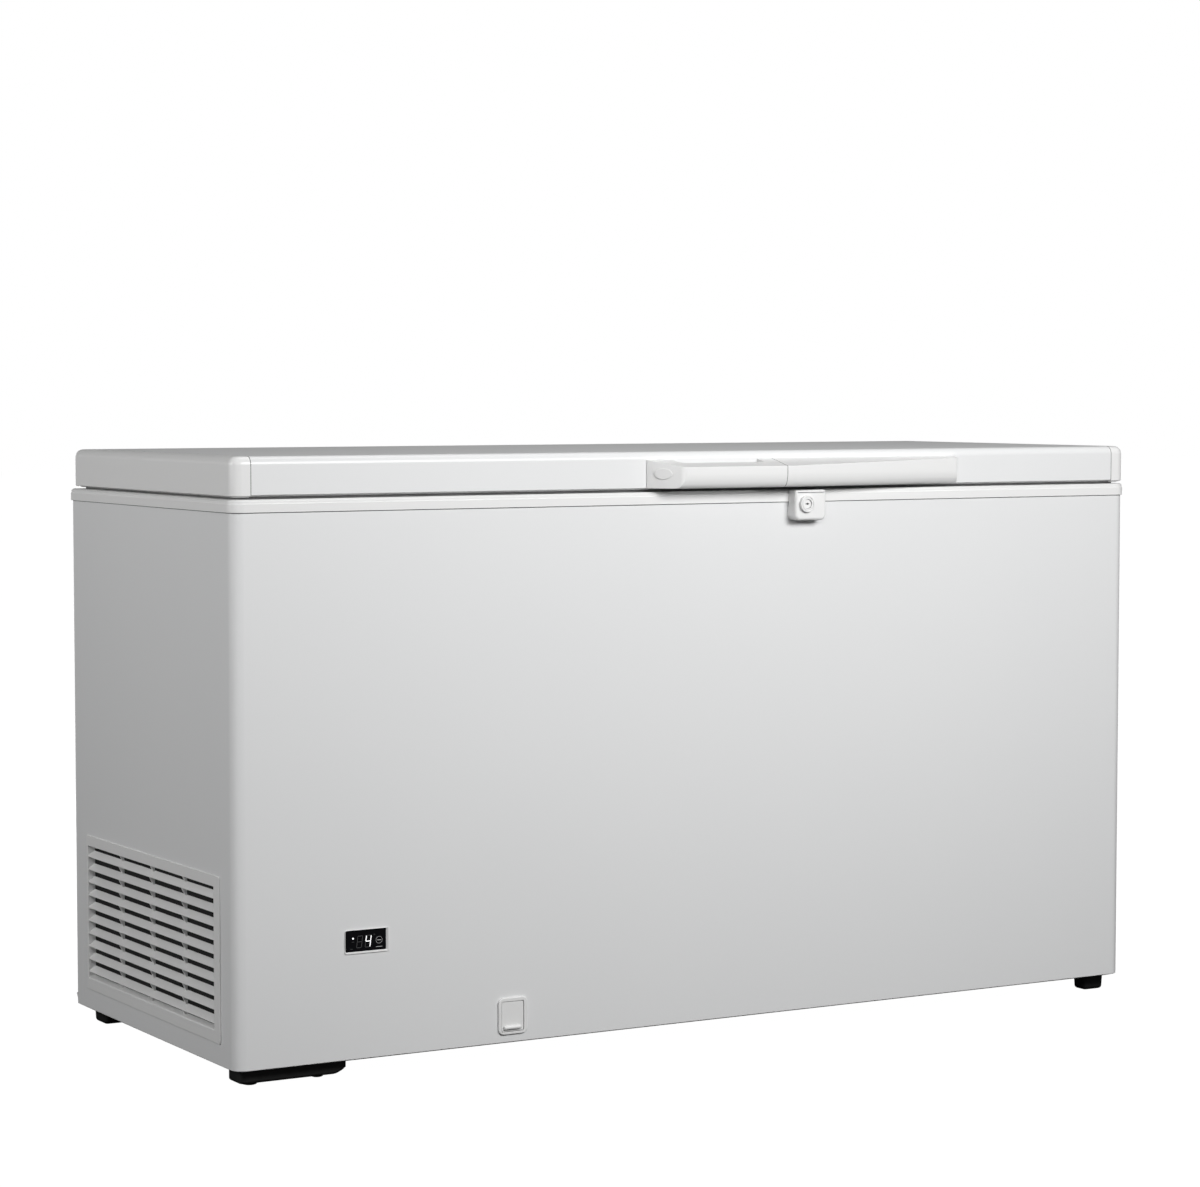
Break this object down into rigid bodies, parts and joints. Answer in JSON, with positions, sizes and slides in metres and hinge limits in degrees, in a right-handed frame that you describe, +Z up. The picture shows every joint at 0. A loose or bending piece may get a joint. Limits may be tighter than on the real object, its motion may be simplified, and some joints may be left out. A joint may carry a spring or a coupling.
{
  "type": "chest freezer",
  "caption": "Long white chest freezer with a rear-hinged lid, long front handle and lock, side louvre, small digital display, defrost drain, black feet and sliding wire baskets.",
  "frame": {"origin": "on the floor, at the middle of the whole outline from above, handle and hinges included", "axes": "+X to the right along the front, +Y from the front to the back, +Z up"},
  "size_m": [1.561, 0.6614, 0.8806],
  "materials": {
    "white_steel": "satin",
    "white_plastic": "satin",
    "liner_white": "satin",
    "foam": "matte",
    "zinc_steel": "satin",
    "pin_chrome": "polished",
    "black_plastic": "satin",
    "black_gloss": "gloss",
    "black_enamel": "satin",
    "rubber": "matte",
    "gasket_grey": "matte",
    "copper": "satin",
    "aluminium": "satin"
  },
  "bodies": {
    "cabinet": {"outer_wrapper": "white_steel", "rear_panel": "white_steel", "top_rim": "white_plastic", "side_louvre": "white_plastic", "display_bezel": "white_plastic", "drain_frame": "white_plastic", "drain_tube": "white_plastic", "lock_housing": "white_plastic", "lock_collar": "white_plastic", "inner_liner": "liner_white", "cabinet_foam": "foam", "base_panel": "zinc_steel", "compressor_tray": "zinc_steel", "fan_bracket": "zinc_steel", "hinge_base_left": "zinc_steel", "hinge_base_right": "zinc_steel", "hinge_pin_left": "pin_chrome", "hinge_pin_right": "pin_chrome", "display_module": "black_plastic", "front_left_skid": "black_plastic", "front_right_foot": "black_plastic", "rear_left_foot": "black_plastic", "rear_right_foot": "black_plastic", "start_relay_box": "black_plastic", "fan_motor": "black_plastic", "display_lens": "black_gloss", "compressor": "black_enamel", "skid_pad_1": "rubber", "skid_pad_2": "rubber", "compressor_grommet_1": "rubber", "compressor_grommet_2": "rubber", "compressor_grommet_3": "rubber", "compressor_grommet_4": "rubber", "filter_drier": "copper", "discharge_pipe": "copper", "suction_pipe": "copper", "condenser_core": "aluminium"},
    "lid": {"lid_skin": "white_steel", "lid_end_cap_left": "white_plastic", "lid_end_cap_right": "white_plastic", "lid_foam": "foam", "lid_liner": "liner_white", "lid_gasket": "gasket_grey", "handle_grip": "white_plastic", "handle_cover": "white_plastic", "handle_badge": "white_plastic", "hinge_arm_left": "zinc_steel", "hinge_arm_right": "zinc_steel"},
    "lock_barrel": {"lock_barrel": "white_plastic"},
    "lock_bolt": {"lock_bolt": "zinc_steel"},
    "drain_flap": {"drain_flap": "white_plastic"},
    "drain_plug": {"drain_plug": "white_plastic"},
    "fan": {"fan_rotor": "aluminium"},
    "basket_left": {"basket_left": "white_steel"},
    "basket_right": {"basket_right": "white_steel"}
  },
  "joints": [
    {"name": "lid_hinge", "type": "hinge", "parent": "cabinet", "child": "lid", "pos_m": [0, 0.32425, 0.823], "axis": [-1, 0, 0], "range_deg": [0, 85]},
    {"name": "lock_turn", "type": "hinge", "parent": "cabinet", "child": "lock_barrel", "pos_m": [0.1505, -0.31, 0.8], "axis": [0, 1, 0], "range_deg": [0, 90]},
    {"name": "lock_bolt_slide", "type": "slide", "parent": "cabinet", "child": "lock_bolt", "axis": [0, 0, 1], "range_m": [0, 0.012]},
    {"name": "drain_flap_hinge", "type": "hinge", "parent": "cabinet", "child": "drain_flap", "pos_m": [-0.3415, -0.28755, 0.086], "axis": [-1, 0, 0], "range_deg": [0, 90]},
    {"name": "drain_plug_lift", "type": "slide", "parent": "cabinet", "child": "drain_plug", "axis": [0, 0, 1], "range_m": [0, 0.05]},
    {"name": "fan_spin", "type": "hinge", "parent": "cabinet", "child": "fan", "pos_m": [-0.6285, -0.09975, 0.1285], "axis": [0, 1, 0], "continuous": true},
    {"name": "basket_left_slide", "type": "slide", "parent": "cabinet", "child": "basket_left", "axis": [1, 0, 0], "range_m": [0, 0.33]},
    {"name": "basket_right_slide", "type": "slide", "parent": "cabinet", "child": "basket_right", "axis": [-1, 0, 0], "range_m": [0, 0.33]}
  ],
  "couplings": [
    {"joint": "lock_turn", "follows": "lock_bolt_slide", "rad_per_m": 130.9}
  ]
}
